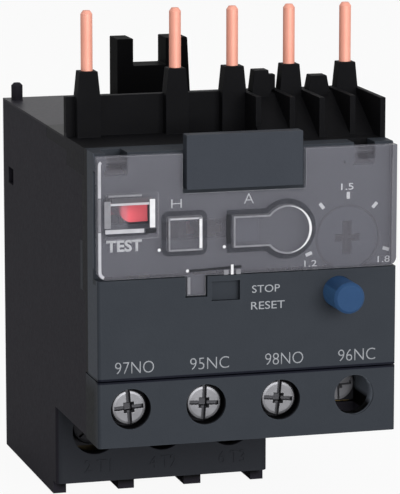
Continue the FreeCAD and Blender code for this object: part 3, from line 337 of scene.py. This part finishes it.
def make_finishes():
    return {
        # The third colour of each moulding is the painted highlight along its edges.
        "black_plastic": moulded("black_moulding", srgb(37, 36, 42), srgb(42, 40, 47),
                                 srgb(54, 54, 58), 0.55, 0.04, patches=BLACK_PATCHES,
                                 satin=ROOF),
        # The deck and the hook are darker copies of the black moulding: painted shade on the
        # upper parts.
        "deck_shaded_black": moulded("deck_moulding_in_shade", srgb(14, 14, 16), srgb(20, 20, 22),
                              srgb(32, 33, 36), 0.6, 0.04, patches=DECK_PATCHES, satin=ROOF),
        "hook_shaded_black": moulded("hook_moulding_in_shade", srgb(5, 5, 6), srgb(9, 9, 10),
                              srgb(22, 22, 25), 0.6, 0.02),
        "grey_plastic": moulded("slate_moulding", srgb(50, 54, 60), srgb(55, 59, 65),
                                srgb(74, 79, 86), 0.52, 0.06, patches=SLATE_PATCHES),
        "plate_slate": moulded("plate_moulding", srgb(54, 58, 65), srgb(59, 63, 70),
                               srgb(74, 79, 86), 0.5, 0.06),
        "dial_plastic": moulded("dial_moulding", srgb(52, 56, 64), srgb(57, 61, 69),
                                srgb(66, 70, 78), 0.5, 0.08, patches=DIAL_PATCHES),
        "blue_plastic": moulded("blue_moulding", srgb(42, 69, 104), srgb(47, 76, 113),
                                srgb(66, 96, 136), 0.45, 0.06, patches=BUTTON_PATCHES),
        "red_plastic": moulded("red_moulding", srgb(240, 84, 96), srgb(250, 96, 108),
                               srgb(250, 120, 128), 0.4, 0.3),
        "mechanism_plastic": moulded("natural_moulding", srgb(205, 200, 186),
                                     srgb(222, 218, 204), srgb(235, 232, 224), 0.45, 0.3),
        "heater_tape": moulded("heater_tape", srgb(190, 180, 150), srgb(212, 204, 176),
                               srgb(225, 218, 200), 0.7, 0.1, 3500, 0.00004),
        "plated_steel": plated("zinc_steel", srgb(150, 150, 153), srgb(204, 204, 208), 0.34),
        # its recess and hole are darkened with painted shade
        "screw_steel": plated("screw_steel", srgb(104, 104, 107), srgb(148, 148, 152), 0.45,
                              shade_from=1.6),
        # darkened steel: painted shade for the power screws, the clamps and the hinge pins
        "shaded_steel": plated("shaded_steel", srgb(34, 34, 36), srgb(50, 50, 53), 0.5),
        "worn_steel": plated("worn_steel", srgb(94, 94, 98), srgb(128, 128, 132), 0.5,
                             metal=0.4),
        # darkened brass: painted shade for the pole terminals deep in the power holes
        "shaded_brass": plated("shaded_terminal_brass", srgb(52, 46, 36), srgb(74, 66, 50), 0.5),
        "terminal_brass": plated("terminal_brass", srgb(176, 146, 84), srgb(214, 186, 120), 0.3),
        "bimetal_steel": plated("bimetal_strip", srgb(120, 116, 112), srgb(160, 156, 150), 0.35,
                                900, (1, 1, 0.1)),
        "pin_copper": plated("drawn_copper", srgb(238, 158, 136), srgb(250, 180, 160), 0.55,
                             1500, (1, 1, 0.08), 0.25),
        "clear_plastic": clear_moulding(),
        "white_ink": printed("white_ink", srgb(214, 216, 220), srgb(240, 242, 244)),
        "grey_ink": printed("grey_ink", srgb(142, 145, 150), srgb(168, 171, 176)),
        # Painted highlights in three tones, then painted shade in three, laid on as thin beads.
        "white_edge": lit_edge("edge_white", srgb(222, 222, 226), srgb(246, 246, 248), 0.9),
        "light_grey_edge": lit_edge("edge_light_grey", srgb(182, 182, 188), srgb(208, 208, 214), 0.85),
        "pale_edge": lit_edge("edge_pale", srgb(140, 140, 146), srgb(166, 166, 172), 0.65),
        "mid_shade": lit_edge("edge_mid", srgb(84, 84, 90), srgb(94, 94, 100), 0.9),
        "soft_shade": lit_edge("edge_shade", srgb(50, 52, 60), srgb(60, 62, 70), 0.38),
        "deep_shade": lit_edge("edge_dark", srgb(26, 28, 34), srgb(36, 38, 44), 0.8),
    }


FINISHES = make_finishes()
BODY_OF = {node: body for body, group in frame["record"]["behaviour"]["bodies"].items()
           for node in group}
TRAVEL_OF = {joint["name"]: joint["range_m"][1]
             for joint in frame["record"]["behaviour"]["joints"] if joint["type"] == "slide"}


# ---------------------------------------------------------------- CAD nodes

WELD = 0.002                   # distance within which corners are one
SHARP = 35                     # degrees between faces from which an edge is rounded


def soften(node, width, segments=2):
    """Small radius along the sharp edges of an object, as a mould gives."""
    weld = node.modifiers.new("weld", "WELD")
    weld.merge_threshold = WELD * MM
    bevel = node.modifiers.new("edge_radius", "BEVEL")
    bevel.width = width * MM
    bevel.segments = segments
    bevel.limit_method = "ANGLE"
    bevel.angle_limit = math.radians(SHARP)
    bevel.use_clamp_overlap = True
    bevel.harden_normals = True


SOFT_EDGES = {"base_housing": 0.16, "front_housing": 0.18, "aux_block": 0.22, "pin_deck": 0.12,
              "mounting_hook": 0.14, "marker_plate": 0.15, "clear_cover": 0.12,
              "stop_button": 0.12, "reset_selector": 0.15, "trip_flag": 0.1,
              "locating_peg": 0.1}
OWN_FINISH = {"pin_deck": "deck_shaded_black", "mounting_hook": "hook_shaded_black",
              "marker_plate": "plate_slate", "hinge_pins": "shaded_steel"}
for stem, count, own in (("power_clamp", 3, "shaded_steel"), ("aux_clamp", 4, "shaded_steel"),
                         ("pole_terminal", 3, "shaded_brass")):
    OWN_FINISH.update({"%s_%d" % (stem, i + 1): own for i in range(count)})


def dress_nodes():
    slots = {s["node"]: s["material_slot"] for s in frame["record"]["subparts"]}
    for name, node in nodes.items():
        node.data.materials.clear()
        node.data.materials.append(FINISHES[OWN_FINISH.get(name, slots[name])])
        if name in SOFT_EDGES:
            soften(node, SOFT_EDGES[name])


# ---------------------------------------------------------------- small meshes

def show(name, data):
    """New object with that data, in the scene."""
    made = bpy.data.objects.new(name, data)
    bpy.context.scene.collection.objects.link(made)
    return made


def add_piece(name, mesh, finish, body):
    """Shows a mesh, made in the row frame, as a piece of that finish on that body."""
    mesh.materials.clear()
    mesh.materials.append(FINISHES[finish])
    piece = show(name, mesh)
    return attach(piece, body)


def mesh_of(name, work):
    """Mesh with outward faces from a bmesh."""
    bmesh.ops.recalc_face_normals(work, faces=work.faces)
    mesh = bpy.data.meshes.new(name)
    work.to_mesh(mesh)
    work.free()
    return mesh


def tube_of_rings(work, rings, closed=False):
    """Skin over rings of points; open runs are capped at both ends."""
    loops = [[work.verts.new(p) for p in ring] for ring in rings]
    pairs = list(zip(loops, loops[1:]))
    if closed:
        pairs.append((loops[-1], loops[0]))
    for near, far in pairs:
        for i in range(len(near)):
            j = (i + 1) % len(near)
            work.faces.new((near[i], near[j], far[j], far[i]))
    if not closed:
        work.faces.new(loops[0])
        work.faces.new(loops[-1])


def round_point(centre, radius, y, angle):
    """Point at that radius, in millimetres, about an axis along Y through centre."""
    return centre + Vector((radius * math.cos(angle), y, radius * math.sin(angle))) * MM


def turned(work, centre, profile, count=48):
    """Solid of revolution about an axis along Y through centre, from (radius, y) pairs in
    millimetres. The first and last radius close it with flat caps."""
    turns = [2 * math.pi * i / count for i in range(count)]
    tube_of_rings(work, [[round_point(centre, radius, y, a) for a in turns]
                         for radius, y in profile])


BLUNTEST = 0.4                 # keeps the mitre of a sharp corner short


def strip(name, path, width, y, finish, body, closed=False, thick=0.03):
    """Flat bead with bevelled sides that follows a path of (x, z) points on a face which
    looks out of the front at that y. width is one number or one for each point."""
    count = len(path)
    widths = width if isinstance(width, list) else [width] * count
    rings = []
    for i, (x, z) in enumerate(path):
        before = path[i - 1] if closed or i else path[i]
        after = path[(i + 1) % count] if closed or i < count - 1 else path[i]
        into = Vector((x - before[0], z - before[1]))
        out = Vector((after[0] - x, after[1] - z))
        into = into.normalized() if into.length > 1e-9 else out.normalized()
        out = out.normalized() if out.length > 1e-9 else into
        side = Vector((-(into.y + out.y), into.x + out.x)).normalized()
        mitre = 1 / max(BLUNTEST, side.dot(Vector((-into.y, into.x))))
        half = widths[i] / 2 * mitre
        edge = min(thick, half * 0.6)
        ring = []
        for across, high in ((-half, 0), (-half + edge, thick), (half - edge, thick), (half, 0)):
            ring.append(at(x + side.x * across, y - high, z + side.y * across))
        rings.append(ring)
    work = bmesh.new()
    tube_of_rings(work, rings, closed)
    return add_piece(name, mesh_of(name, work), finish, body)


def arc(x, z, radius, first, last, count=24):
    """Points on a circle; angles in degrees, from the right towards the top."""
    points = []
    for i in range(count + 1):
        a = math.radians(first + (last - first) * i / count)
        points.append((x + radius * math.cos(a), z + radius * math.sin(a)))
    return points


def rounded_box(x0, x1, z0, z1, radius):
    """Points around an upright rectangle with round corners, from its upper right one."""
    corners = ((x1 - radius, z1 - radius), (x0 + radius, z1 - radius),
               (x0 + radius, z0 + radius), (x1 - radius, z0 + radius))
    points = []
    for i, (x, z) in enumerate(corners):
        points += arc(x, z, radius, 90 * i, 90 * (i + 1), 6)
    return points


# ---------------------------------------------------------------- terminal screws

def carve(name, solid, tools, round_edges):
    """Mesh of the solid less the tools, with its sharp edges rounded."""
    body = show(name, mesh_of(name, solid))
    for tool in tools:
        less = body.modifiers.new("carve", "BOOLEAN")
        less.operation = "DIFFERENCE"
        less.solver = "EXACT"
        less.object = tool
    soften(body, round_edges)
    bpy.context.view_layer.update()
    mesh = bpy.data.meshes.new_from_object(
        body.evaluated_get(bpy.context.evaluated_depsgraph_get()))
    for piece in [body] + tools:
        bpy.data.objects.remove(piece)
    mesh.name = name
    return mesh


SLOT_START = 0.4               # of a cutter, in front of the face that it cuts


def tapered_slot(centre, half_long, half_wide, depth, turn, taper=0.75):
    """Cutter for a slot in a face that looks out of the front, narrower at its floor."""
    work = bmesh.new()
    rings = []
    for y, share in ((-SLOT_START, 1.0), (0.0, 1.0), (depth, taper)):
        ring = []
        for a, b in ((-1, -1), (1, -1), (1, 1), (-1, 1)):
            x = a * (half_long - (1 - share) * half_wide)
            z = b * half_wide * share
            ring.append(centre + Vector((x * math.cos(turn) - z * math.sin(turn), y,
                                         x * math.sin(turn) + z * math.cos(turn))) * MM)
        rings.append(ring)
    tube_of_rings(work, rings)
    return show("slot", mesh_of("slot", work))


ROWS_A_TURN = 8
THREAD_DEPTH = 0.55            # of the pitch


def threaded_shank(work, centre, radius, y0, y1, pitch, count=24):
    """Shank along Y with a helical thread of that pitch, and a plain lead-in."""
    rows = int((y1 - y0) / pitch * ROWS_A_TURN)
    depth = THREAD_DEPTH * pitch
    rings = []
    for row in range(rows + 1):
        y = y0 + (y1 - y0) * row / rows
        lead = min(1.0, (y1 - y) / (1.5 * pitch))
        ring = []
        for i in range(count):
            turn = i / count
            groove = abs(2 * ((y / pitch - turn) % 1.0) - 1)
            r = radius - depth * max(groove, 1 - lead)
            ring.append(round_point(centre, r, y, 2 * math.pi * turn))
        rings.append(ring)
    tube_of_rings(work, rings)


def round_place(low, high):
    """Front centre of a round solid along Y, from the corners of its box, then its radius
    and length in millimetres."""
    centre = Vector(((low.x + high.x) / 2, low.y, (low.z + high.z) / 2))
    return centre, (high.x - low.x) / 2 / MM, (high.y - low.y) / MM


def terminal_screw(node, finish, turn, head_height, shank_radius, pitch):
    """Pan-head screw with a combination recess, in the place of its CAD solid. turn is that
    of the recess, in degrees."""
    centre, radius, end = round_place(*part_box(node))
    head = bmesh.new()
    turned(head, centre, [(radius * 0.30, 0.0), (radius * 0.80, 0.02), (radius * 0.92, 0.07),
                          (radius * 0.98, 0.18), (radius, 0.36), (radius, head_height - 0.12),
                          (radius - 0.12, head_height)])
    spin = math.radians(turn)
    tools = [tapered_slot(centre, radius * 0.84, radius * 0.12, 0.7, spin),
             tapered_slot(centre, radius * 1.1, radius * 0.12, 0.7, spin + math.pi / 2),
             tapered_slot(centre, radius * 0.30, radius * 0.30, 1.15, spin, 0.6)]
    mesh = carve(node + "_looks", head, tools, 0.05)
    work = bmesh.new()
    work.from_mesh(mesh)
    threaded_shank(work, centre, shank_radius, head_height - 0.1, end, pitch)
    bpy.data.meshes.remove(mesh)
    piece = add_piece(node + "_looks", mesh_of(node + "_looks", work), finish, BODY_OF[node])
    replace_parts(piece, node)


AUX_SCREW = {"head_height": 2.0, "shank_radius": 1.75, "pitch": 0.6}
POWER_SCREW = {"head_height": 2.4, "shank_radius": 2.0, "pitch": 0.7}
AUX_FINISHES = ("screw_steel", "screw_steel", "screw_steel", "worn_steel")


def fit_screws():
    for i, (finish, turn) in enumerate(zip(AUX_FINISHES, (4, -3, -6, 2))):
        terminal_screw("aux_screw_%d" % (i + 1), finish, turn, **AUX_SCREW)
    for i, turn in enumerate((38, 12, -20)):
        terminal_screw("power_screw_%d" % (i + 1), "shaded_steel", turn, **POWER_SCREW)


CLOSED = 0.75                  # turns at each end of a spring that lie flat


def wound_spring(node, wire, turns, joint, count=8, steps=28):
    """Round-wire compression spring with a closed coil at each end, in its CAD place, on a
    mesh of its own. The joint's travel is read but doesn't move its front end."""
    low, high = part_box(node)
    x, z = (low.x + high.x) / 2, (low.z + high.z) / 2
    radius = (high.x - low.x - wire * MM) / 2
    y0, y1 = low.y + wire * MM / 2, high.y - wire * MM / 2
    rings = []
    for i in range(int((turns + 2 * CLOSED) * steps) + 1):
        turn = i / steps
        lifted = min(max(turn - CLOSED, 0), turns) / turns
        y = y0 + (y1 - y0) * lifted
        a = 2 * math.pi * turn
        ring = []
        for j in range(count):
            b = 2 * math.pi * j / count
            r = radius + wire * MM / 2 * math.cos(b)
            ring.append(Vector((x + r * math.cos(a), y + wire * MM / 2 * math.sin(b),
                                z + r * math.sin(a))))
        rings.append(ring)
    work = bmesh.new()
    tube_of_rings(work, rings)
    piece = add_piece(node + "_looks", mesh_of(node + "_looks", work), "plated_steel",
                      BODY_OF[node])
    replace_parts(piece, node)
    travel = TRAVEL_OF[joint]
    1 - travel / (high.y - low.y)
    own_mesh(piece)


def setting_dial():
    """Dial with a rounded rim and a driver cross whose walls slope."""
    centre, radius, end = round_place(*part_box("dial"))
    disc = bmesh.new()
    turned(disc, centre, [(1.2, 0.0), (radius - 0.3, 0.0), (radius - 0.1, 0.08),
                          (radius, 0.3), (radius, 1.6), (2.0, 1.6), (2.0, end)])
    tools = [tapered_slot(centre, 2.5, 0.75, 0.9, math.pi / 2, 0.5),
             tapered_slot(centre, 1.9, 0.55, 0.9, 0.0, 0.5)]
    mesh = carve("dial_looks", disc, tools, 0.06)
    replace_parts(add_piece("dial_looks", mesh, "dial_plastic", "dial"), "dial")


FLAG_SHORTER = 0.6             # at its leading end than the CAD solid
FLAG_LONGER = 0.25             # at its other end
FLAG_TIP = 0.05                # half the height that the rounded end starts with
FLAG_SWEEP = 0.7               # how far that end curves back


def flag_ring(x, middle, tall, front, back):
    return [Vector((x, front, middle - tall)), Vector((x, front, middle + tall)),
            Vector((x, back, middle + tall)), Vector((x, back, middle - tall))]


def red_flag(steps=10):
    """Flag behind the test window: its leading end is rounded and curves away."""
    low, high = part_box("trip_flag")
    half = (high.z - low.z) / 2
    middle = (high.z + low.z) / 2
    rings = []
    for i in range(steps + 1):
        swing = math.radians(90 * i / steps)
        x = low.x + FLAG_SHORTER * MM + half * (1 - math.cos(swing))
        tall = half * math.sin(swing) + FLAG_TIP * MM
        back = FLAG_SWEEP * MM * (1 - math.sin(swing)) ** 2
        rings.append(flag_ring(x, middle, tall, low.y + back, high.y))
    rings.append(flag_ring(high.x + FLAG_LONGER * MM, middle, half, low.y, high.y))
    work = bmesh.new()
    tube_of_rings(work, rings)
    piece = add_piece("trip_flag_looks", mesh_of("trip_flag_looks", work), "red_plastic",
                      BODY_OF["trip_flag"])
    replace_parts(piece, "trip_flag")


# ---------------------------------------------------------------- lettering

def lettering(name, words, x, y, z, height, width, finish="white_ink", proud=0.006,
              thin=0.0):
    """Words centred on that point of a face which looks out of the front. height and width
    are of the whole line; thin takes that much off each side of the strokes."""
    curve = bpy.data.curves.new(name, "FONT")
    curve.body = words
    curve.resolution_u = 4
    curve.offset = -thin
    text = show(name, curve)
    bpy.context.view_layer.update()
    flat = bpy.data.meshes.new_from_object(
        text.evaluated_get(bpy.context.evaluated_depsgraph_get()))
    bpy.data.objects.remove(text)
    xs = [v.co.x for v in flat.vertices]
    ys = [v.co.y for v in flat.vertices]
    middle = Vector(((min(xs) + max(xs)) / 2, (min(ys) + max(ys)) / 2, 0))
    across = width * MM / (max(xs) - min(xs))
    upright = height * MM / (max(ys) - min(ys))
    work = bmesh.new()
    work.from_mesh(flat)
    bpy.data.meshes.remove(flat)
    bmesh.ops.remove_doubles(work, verts=work.verts, dist=1e-5)
    for vert in work.verts:
        away = vert.co - middle
        vert.co = at(x, y, z) + Vector((away.x * across, 0, away.y * upright))
    raised = bmesh.ops.extrude_face_region(work, geom=list(work.faces))
    for vert in raised["geom"]:
        if isinstance(vert, bmesh.types.BMVert):
            vert.co.y -= proud * MM
    return add_piece(name, mesh_of(name, work), finish, "housing")


PANEL = 2.4                    # y of the control panel behind the cover
COVER_FACE = 0.0               # y of the cover's front
PAD_FACE = -0.7                # y of the raised pads on it


def print_the_front():
    numbers = (("97NO", 5.41, 25.43, 5.8), ("95NC", 16.62, 25.42, 5.86),
               ("98NO", 27.9, 25.45, 5.8), ("96NC", 39.0, 25.35, 5.7))
    for words, x, z, width in numbers:
        lettering("print_" + words, words, x, 0, z, 1.75, width, "grey_ink", thin=0.012)
    lettering("print_stop", "STOP", 25.1, 0, 35.95, 1.1, 4.2, "grey_ink")
    lettering("print_reset", "RESET", 25.4, 0, 33.5, 1.15, 5.1, "grey_ink")
    lettering("print_test", "TEST", 4.55, PANEL, 42.8, 1.75, 5.3, thin=-0.035)
    lettering("print_h", "H", 12.35, PANEL, 48.6, 1.25, 1.6, thin=0.012)
    lettering("print_a", "A", 23.2, PANEL, 48.85, 1.5, 1.5, thin=0.012)
    for value, x, z in (("1.2", 32.6, 38.8), ("1.5", 38.15, 49.9), ("1.8", 43.85, 38.9)):
        lettering("scale_" + value.replace(".", "_"), value, x, PANEL, z, 0.95, 1.9)


DIAL = Vector((38.2, 42.35))   # x and z of the dial
TICK_REACH = 6.25              # from there to the middle of a tick
TICK_ANGLES = (-110, -39, 1, 42, 108)


def print_the_scale():
    for i, angle in enumerate(TICK_ANGLES):
        a = math.radians(angle)
        out = Vector((math.sin(a), math.cos(a)))
        ends = [DIAL + out * (TICK_REACH + d) for d in (-0.5, 0.5)]
        strip("scale_tick_%d" % (i + 1), [tuple(e) for e in ends], 0.5, PANEL, "white_ink",
              "housing")
    strip("dial_ring", arc(DIAL.x, DIAL.y, 4.85, 0, 352.5, 47), 0.16, PANEL, "deep_shade",
          "housing", closed=True, thick=0.01)


def mark_the_tier():
    """Terminal numbers raised on the face of the power tier."""
    for pole, x in enumerate((6.45, 16.7, 27.65)):
        words = "%d T%d" % (2 * pole + 2, pole + 1)
        lettering("tier_mark_%d" % (pole + 1), words, x, 26.0, 4.5, 1.9, 4.2, "black_plastic",
                  proud=0.12)


# ---------------------------------------------------------------- painted highlights and shade on the clear cover

def outline_hand_pad():
    """Painted highlights on the rim of the pad above the selector's manual end, and painted
    shade around it.
    """
    left, right, low, top = 10.3, 15.4, 42.2, 47.1
    # painted shade around the pad
    strip("hand_pad_shade", rounded_box(left - 0.5, right + 0.5, low - 0.45, top + 0.5, 0.7), 0.7,
          COVER_FACE, "soft_shade", "cover", closed=True)
    strip("hand_pad_rim", rounded_box(left + 0.15, right - 0.15, low + 0.15, top - 0.15, 0.2),
          0.26, PAD_FACE, "pale_edge", "cover", closed=True)
    strip("hand_pad_glint", [(right - 0.3, low + 0.35), (right - 0.3, top - 0.3)], 0.42,
          PAD_FACE - 0.03, "white_edge", "cover")
    strip("hand_pad_top", [(left + 0.3, top - 0.22), (right - 0.6, top - 0.22)], 0.22,
          PAD_FACE - 0.03, "light_grey_edge", "cover")


def outline_auto_pad():
    """Painted highlights on the rim of the keyhole-shaped pad above the selector's automatic
    end, and painted shade around it, darkest at its left.
    """
    left, low, top = 20.0, 42.3, 46.9
    x, z, radius = 28.17, 44.6, 3.6

    def keyhole(grow):
        half = (top - low) / 2 + grow
        meet = math.degrees(math.asin(half / (radius + grow)))
        bow = arc(x, z, radius + grow, 180 - meet, meet - 180, 40)
        return [(left - grow, z + half), *bow, (left - grow, z - half)]

    # painted shade around the pad, darkest along its left side
    strip("auto_pad_shade", keyhole(0.45), 0.75, COVER_FACE, "soft_shade", "cover", closed=True)
    strip("auto_pad_shade_left", [(left - 0.6, low + 0.5), (left - 0.6, top + 0.2)], 0.6,
          COVER_FACE - 0.03, "deep_shade", "cover")
    strip("auto_pad_rim", keyhole(-0.15), 0.26, PAD_FACE, "pale_edge", "cover", closed=True)
    crescent = arc(x, z, radius - 0.18, -80, 82, 40)
    swell = [0.05 + 0.33 * math.sin(math.pi * i / 40) ** 1.5 for i in range(41)]
    strip("auto_pad_glint", crescent, swell, PAD_FACE - 0.03, "white_edge", "cover")


def outline_test_window():
    """Frame of the test window: bars of painted highlight and painted shade."""
    y = PAD_FACE
    bars = (("window_left", [(1.35, 46.0), (1.35, 49.9)], 0.95, "pale_edge"),
            ("window_right", [(7.95, 45.9), (7.95, 50.0)], 0.8, "white_edge"),
            ("window_top", [(1.8, 49.4), (7.5, 49.4)], 0.36, "light_grey_edge"),
            ("window_brow", [(1.95, 49.95), (7.4, 49.95)], 0.8, "mid_shade"),
            ("window_crown", [(1.5, 50.62), (6.4, 50.62)], 0.3, "pale_edge"),
            ("window_sill", [(1.0, 45.5), (6.7, 45.5)], 0.6, "light_grey_edge"),
            ("window_sill_line", [(1.2, 45.0), (7.2, 45.0)], 0.34, "soft_shade"),
            ("window_sill_shade", [(6.9, 45.4), (8.5, 45.4)], 0.7, "deep_shade"))
    for name, path, width, finish in bars:
        strip(name, path, width, y, finish, "cover")


def outline_cover():
    """Painted highlights along the left edge and the latch's edge, a painted glint on the
    sealing eye above the latch between pale flanks, the dark seal line and three white dots.
    """
    x = 0.36
    y = COVER_FACE
    strip("cover_edge_top", arc(x + 0.5, 55.0, 0.5, 120, 180, 6) + [(x, 50.3)], 0.44, y,
          "light_grey_edge", "cover")
    strip("cover_edge_middle", [(x, 50.2), (x, 45.4)], 0.4, y, "pale_edge", "cover")
    strip("cover_edge_low", [(x, 45.3)] + arc(x + 0.9, 39.6, 0.9, 180, 250, 6), 0.44, y,
          "light_grey_edge", "cover")
    strip("latch_edge", [(13.55, 35.7), (13.55, 38.2)], 0.4, y, "pale_edge", "cover")
    strip("seal_line", [(13.6, 39.1), (17.5, 39.25), (21.4, 39.4)], 0.36, y, "deep_shade",
          "cover")
    strip("seal_glint", [(20.0, 38.3), (20.0, 39.75)], 0.4, y - 0.03, "white_edge", "cover")
    for tag, side in (("left", 19.1), ("right", 20.95)):
        strip("seal_" + tag, [(side, 38.3), (side, 39.0)], 0.7, y, "pale_edge", "cover")
    dots = (("seal_dot", 13.3, 39.15), ("hand_dot", 9.1, 42.4), ("auto_dot", 18.8, 42.4))
    for name, dot_x, dot_z in dots:
        strip(name, arc(dot_x, dot_z, 0.12, 0, 330, 11), 0.24, y - 0.03, "white_edge", "cover",
              closed=True)


def track_lines():
    """Edges of the selector's slot, seen between the two pads."""
    for tag, z in (("upper", 46.1), ("lower", 43.4)):
        strip("track_" + tag, [(15.9, z), (19.6, z)], 0.28, PANEL, "deep_shade", "housing")


# ---------------------------------------------------------------- surroundings

PLAIN_LIGHT = 0.32             # of the world on matt surfaces
GLOSSY_LIGHT = 0.9             # of the world as mirrored
FLOOR_GLOW = 0.93              # how far the camera sees the floor as plain white
FLOOR_DROP = 0.4               # below the feet
WHITE = (1.0, 1.0, 1.0, 1.0)


def build_floor():
    bpy.ops.mesh.primitive_plane_add(size=6.0, location=(0, 0, -FLOOR_DROP * MM))
    floor = bpy.context.object
    floor.name = "floor"
    finish = new_finish("pale_floor", Roughness=0.9, Specular_IOR_Level=0.1)
    finish.feed("Base Color", finish.blend(finish.noise(6, 3.0), (0.80, 0.80, 0.80, 1.0),
                                           (0.84, 0.84, 0.84, 1.0)))
    lit = Field(finish, finish.shader.outputs[0])
    glow = finish.node("Emission", {}, {"Color": WHITE, "Strength": 1.0})
    shown = finish.node("MixShader", {}, {0: finish.ray("Camera") * FLOOR_GLOW, 1: lit, 2: glow})
    finish.tree.links.new(shown.socket, finish.tree.nodes["Material Output"].inputs[0])
    floor.data.materials.append(finish.owner)


def build_world():
    """White where the camera looks through to it, dimmer where it lights the pieces."""
    world = bpy.data.worlds.new("studio")
    bpy.context.scene.world = world
    sky = Finish(world, "Background", Color=WHITE)
    seen = sky.ray("Camera").larger(sky.ray("Transmission"))
    light = sky.ray("Glossy") * (GLOSSY_LIGHT - PLAIN_LIGHT) + PLAIN_LIGHT
    sky.feed("Strength", seen.larger(light))


def soft_lamp(name, place, aim, size, watts):
    lamp = bpy.data.lights.new(name, "AREA")
    lamp.shape = "RECTANGLE"
    lamp.size, lamp.size_y = size
    lamp.energy = watts
    holder = show(name, lamp)
    holder.location = place
    holder.rotation_mode = "QUATERNION"
    holder.rotation_quaternion = (Vector(aim) - Vector(place)).to_track_quat("-Z", "Y")


def light_the_studio():
    middle = (0.0, 0.0, 0.035)
    soft_lamp("key", (0.12, -0.85, 0.24), middle, (0.6, 0.4), 6.0)
    soft_lamp("top", (0.0, 0.1, 0.9), middle, (0.8, 0.8), 1.2)


CAMERA_PLACE = Vector((-0.138977, -0.492767, 0.132901))
CAMERA_AZIMUTH = -15.808
CAMERA_ELEVATION = 10.589
LENS = 249.7


def place_camera():
    camera = bpy.data.cameras.new("camera")
    camera.lens = LENS
    camera.sensor_width = 36.0
    camera.clip_start = 0.01
    camera.clip_end = 20.0
    holder = show("camera", camera)
    turn, rise = math.radians(CAMERA_AZIMUTH), math.radians(CAMERA_ELEVATION)
    back = Vector((math.sin(turn) * math.cos(rise), -math.cos(turn) * math.cos(rise),
                   math.sin(rise)))
    holder.location = CAMERA_PLACE
    holder.rotation_mode = "QUATERNION"
    holder.rotation_quaternion = (-back).to_track_quat("-Z", "Y")
    bpy.context.scene.camera = holder


dress_nodes()
fit_screws()
wound_spring("button_spring", 0.4, 5, "button_press")
wound_spring("contact_spring", 0.35, 4, "carrier_slide")
setting_dial()
red_flag()
print_the_front()
print_the_scale()
mark_the_tier()
outline_hand_pad()
outline_auto_pad()
outline_test_window()
outline_cover()
track_lines()
build_floor()
build_world()
light_the_studio()
place_camera()
bpy.context.scene.view_settings.view_transform = "Standard"
